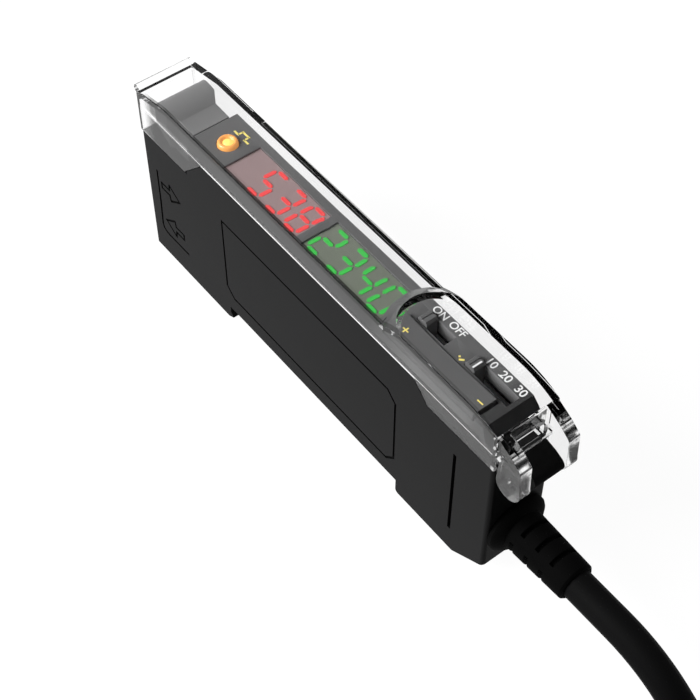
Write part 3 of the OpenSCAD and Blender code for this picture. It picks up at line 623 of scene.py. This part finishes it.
# Refraction makes the near and front walls look too thick, so their inner faces move outwards
same_place = 5e-6
inner_front_x = at(0.65, 0, 0).x
for vertex in cover.data.vertices:
    for inner_y, moved_y in ((-0.00425, -0.0046), (-0.00405, -0.0044)):
        if abs(vertex.co.y - inner_y) < same_place:
            vertex.co.y = moved_y
    if abs(vertex.co.x - inner_front_x) < same_place:
        vertex.co.x -= 0.0003


# Strain relief: a soft black sleeve moulded round the cable, with a collar in the
# end wall and rows of slots that let it bend.
rubber_black = moulded("rubber_black", (0.0012, 0.0012, 0.0012), 0.8, 0.03, 0.00002, 6000)
boot = rounded_copy("strain_relief", "cable_boot", "amplifier", rubber_black, 0.1)


# Cable: round, black jacket, 4.4 mm across and nearly 2 m long. It leaves the boot
# straight, bends down to the table and lies in a tied coil of fourteen turns, two wide.
def eased(part):
    """A soft step from 0 to 1."""
    part = min(max(part, 0), 1)
    return part * part * (3 - 2 * part)


cable_radius, outlet_high, table_high = 2.2, 9.95, 3.1
boot_end, straight_end, bend_radius, bend_steps = 88.1, 95.6, 18.48, 8
bend_angle = math.acos(1 - (outlet_high - table_high) / (2 * bend_radius))
bend_end = straight_end + 2 * bend_radius * math.sin(bend_angle)
route = [(boot_end, 0, outlet_high), (boot_end + 2.5, 0, outlet_high), (boot_end + 5, 0, outlet_high)]
for i in range(bend_steps + 1):
    turn = bend_angle * i / bend_steps
    route.append((straight_end + bend_radius * math.sin(turn), 0,
                  outlet_high - bend_radius * (1 - math.cos(turn))))
for i in range(bend_steps - 1, -1, -1):
    turn = bend_angle * i / bend_steps
    route.append((bend_end - bend_radius * math.sin(turn), 0,
                  table_high + bend_radius * (1 - math.cos(turn))))
for x in (120.5, 124, 127.5, 131, 134.5):
    route.append((x, 0, table_high))
coil_x, coil_y, outer_turn, inner_turn, coil_rows = 138.5, -24.2, 24.2, 19.8, 7
rings = [(radius, table_high + 4.4 * row) for row in range(coil_rows)
         for radius in ((outer_turn, inner_turn) if row % 2 == 0 else (inner_turn, outer_turn))]
steps = 36
for step in range(len(rings) * steps - 3):
    ring, part = divmod(step, steps)
    radius, high = rings[ring]
    if ring < len(rings) - 1:
        ease = eased((part / steps - 0.8) / 0.2)
        radius += (rings[ring + 1][0] - radius) * ease
        high += (rings[ring + 1][1] - high) * ease
    turn = math.radians(90 - step * 360 / steps)
    route.append((coil_x + radius * math.cos(turn), coil_y + radius * math.sin(turn), high))


def wire(name, points, radius, look):
    """A round wire along points in millimetres."""
    line = bpy.data.curves.new(name, "CURVE")
    line.dimensions = "3D"
    line.bevel_depth = radius / 1000
    line.bevel_resolution = 4
    line.use_fill_caps = True
    spline = line.splines.new("POLY")
    spline.points.add(len(points) - 1)
    for point, place in zip(spline.points, points):
        point.co = (*at(*place), 1)
    spline.use_smooth = True
    line.materials.append(look)
    made = new_object(name, line)
    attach(made, "amplifier")
    return made


cable_black = moulded("cable_black", (0.002, 0.002, 0.0021), 0.7, 0.05, 0.00002, 5000)
cable = wire("cable_jacket", route, cable_radius, cable_black)
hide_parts("cable", "cable_coil")


# Leads and tie: four coloured wires come out of the cut end of the jacket and lie on
# the coil, and a flat black plastic tie holds its turns together.
lead_colours = {"brown": (0.13, 0.05, 0.02), "white": (0.75, 0.75, 0.72), "blue": (0.02, 0.09, 0.4),
                "black": (0.015, 0.015, 0.016)}
lead_radius, lead_pitch, lead_steps, lead_low, lead_rise = 0.49, 1.02, 24, 29.5, 2.72
last_radius = rings[-1][0]
for place, (name, colour) in enumerate(lead_colours.items()):
    points = []
    for i in range(lead_steps + 1):
        turn = math.radians(118 - 138 * i / lead_steps)
        rise = eased(i / 6)
        spread = lead_pitch * (place - 1.5) * (0.8 + 0.2 * rise)
        radius = last_radius + (outer_turn - last_radius) * rise + spread
        points.append((coil_x + radius * math.cos(turn), coil_y + radius * math.sin(turn),
                       lead_low + lead_rise * rise))
    lead = wire("lead_" + name, points, lead_radius, moulded("lead_" + name, colour, 0.4, 0.4))
    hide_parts("cable_leads")
finish_node("coil_tie", moulded("tie_black", (0.02, 0.02, 0.021), 0.45, 0.4))
